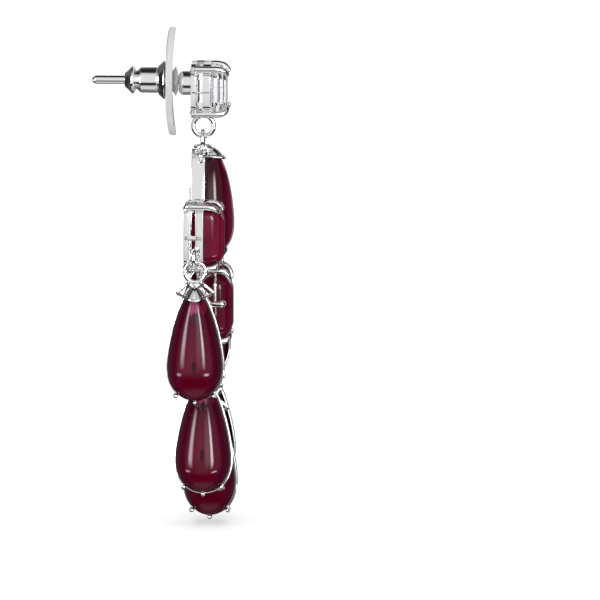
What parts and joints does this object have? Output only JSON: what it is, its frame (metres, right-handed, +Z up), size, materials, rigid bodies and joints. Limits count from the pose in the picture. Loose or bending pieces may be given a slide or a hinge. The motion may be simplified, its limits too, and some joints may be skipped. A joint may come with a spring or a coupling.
{
  "type": "drop earring",
  "caption": "Long drop earring on a post: a clear octagon stud over a metal frame of red octagons with red pear drops hanging round it.",
  "frame": {"origin": "on the ear post's axis, at the back face of the boss that the post grows from, where the earring hangs in the ear", "axes": "+X is the front, the way the stud's stone looks; the post points along -X; +Y is the far side of the picture; +Z is up"},
  "size_m": [0.0152, 0.0214, 0.0523],
  "materials": {
    "rhodium": "polished, rhodium plated",
    "garnet": "polished, deep red",
    "crystal": "polished, clear",
    "plastic": "light grey, slightly cloudy"
  },
  "bodies": {
    "stud": {"stud_setting": "rhodium", "stud_stone": "crystal"},
    "chandelier": {"drop_frame": "rhodium", "top_pear_stone": "garnet", "centre_octagon_stone": "garnet", "side_octagon_stone_near": "garnet", "side_octagon_stone_far": "garnet", "side_drop_near_stone": "garnet", "side_drop_far_stone": "garnet", "lower_drop_near_stone": "garnet", "lower_drop_far_stone": "garnet", "lowest_drop_stone": "garnet", "side_drop_near_setting": "rhodium", "side_drop_far_setting": "rhodium", "lower_drop_near_setting": "rhodium", "lower_drop_far_setting": "rhodium", "lowest_drop_setting": "rhodium", "jump_ring_1": "rhodium", "jump_ring_2": "rhodium"},
    "clutch": {"ear_nut": "rhodium", "clutch_disc": "plastic"}
  },
  "joints": [
    {"name": "drop_swing", "type": "hinge", "parent": "stud", "child": "chandelier", "pos_m": [0.00252, 0, -0.0054], "axis": [0, 1, 0], "range_deg": [-35, 35]},
    {"name": "nut_slide", "type": "slide", "parent": "stud", "child": "clutch", "axis": [-1, 0, 0], "range_m": [0, 0.0085]}
  ]
}
